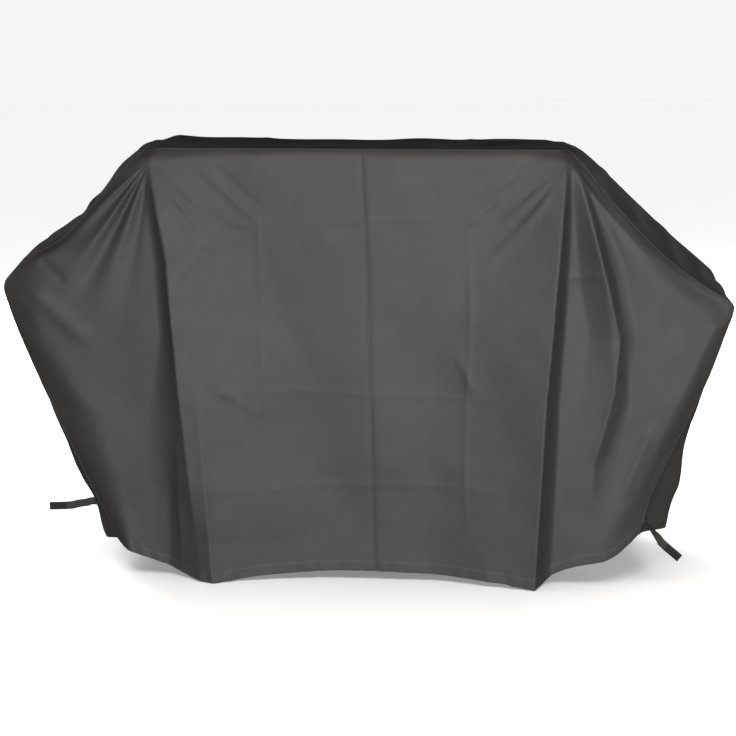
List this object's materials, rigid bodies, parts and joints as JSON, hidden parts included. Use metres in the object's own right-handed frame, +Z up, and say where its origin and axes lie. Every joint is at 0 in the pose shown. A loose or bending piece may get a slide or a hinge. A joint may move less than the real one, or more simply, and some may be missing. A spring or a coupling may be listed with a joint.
{
  "type": "grill cover",
  "caption": "Fitted fabric cover for a hooded grill with side shelves: shaped front and rear panels, a joining strip, bound seams, turned hem and sewn straps.",
  "frame": {"origin": "on the plane of the lowest hem, under the middle of the cover's box", "axes": "+X along the width towards the viewer's right, -Y towards the front, +Z up"},
  "size_m": [1.9062, 0.6599, 1.148],
  "materials": {
    "cover_fabric": "matte",
    "binding_tape": "matte",
    "seam_tape": "satin",
    "strap_webbing": "matte",
    "hook_tape": "matte",
    "loop_tape": "matte",
    "stitching": "matte"
  },
  "bodies": {
    "cover": {"top_panel": "cover_fabric", "left_shoulder_panel": "cover_fabric", "right_shoulder_panel": "cover_fabric", "left_side_panel": "cover_fabric", "right_side_panel": "cover_fabric", "front_panel_left": "cover_fabric", "front_panel_right": "cover_fabric", "rear_panel_left": "cover_fabric", "rear_panel_right": "cover_fabric", "hem_front": "cover_fabric", "hem_rear": "cover_fabric", "hem_left": "cover_fabric", "hem_right": "cover_fabric", "front_seam_binding": "binding_tape", "rear_seam_binding": "binding_tape", "front_centre_seam_tape": "seam_tape", "rear_centre_seam_tape": "seam_tape", "strip_joining_tapes": "seam_tape", "left_front_strap_patch": "strap_webbing", "left_rear_strap_patch": "strap_webbing", "right_front_strap_patch": "strap_webbing", "right_rear_strap_patch": "strap_webbing", "bar_tacks": "stitching"},
    "left_front_strap": {"left_front_strap": "strap_webbing", "left_front_hook_tape": "hook_tape"},
    "right_front_strap": {"right_front_strap": "strap_webbing", "right_front_hook_tape": "hook_tape"},
    "left_rear_strap": {"left_rear_strap": "strap_webbing", "left_rear_loop_tape": "loop_tape"},
    "right_rear_strap": {"right_rear_strap": "strap_webbing", "right_rear_loop_tape": "loop_tape"}
  },
  "joints": [
    {"name": "left_front_strap_bend", "type": "hinge", "parent": "cover", "child": "left_front_strap", "pos_m": [-0.7713, -0.1272, 0.1492], "axis": [0, 0, 1], "range_deg": [-65, 80]},
    {"name": "right_front_strap_bend", "type": "hinge", "parent": "cover", "child": "right_front_strap", "pos_m": [0.7518, -0.2295, 0.149], "axis": [0, 1, 0], "range_deg": [-95, 50]},
    {"name": "left_rear_strap_bend", "type": "hinge", "parent": "cover", "child": "left_rear_strap", "pos_m": [-0.7395, 0.215, 0.1489], "axis": [0, -0.5935, -0.8048], "range_deg": [-95, 10]},
    {"name": "right_rear_strap_bend", "type": "hinge", "parent": "cover", "child": "right_rear_strap", "pos_m": [0.7622, 0.216, 0.1493], "axis": [0, 0.5935, 0.8048], "range_deg": [-95, 10]}
  ]
}
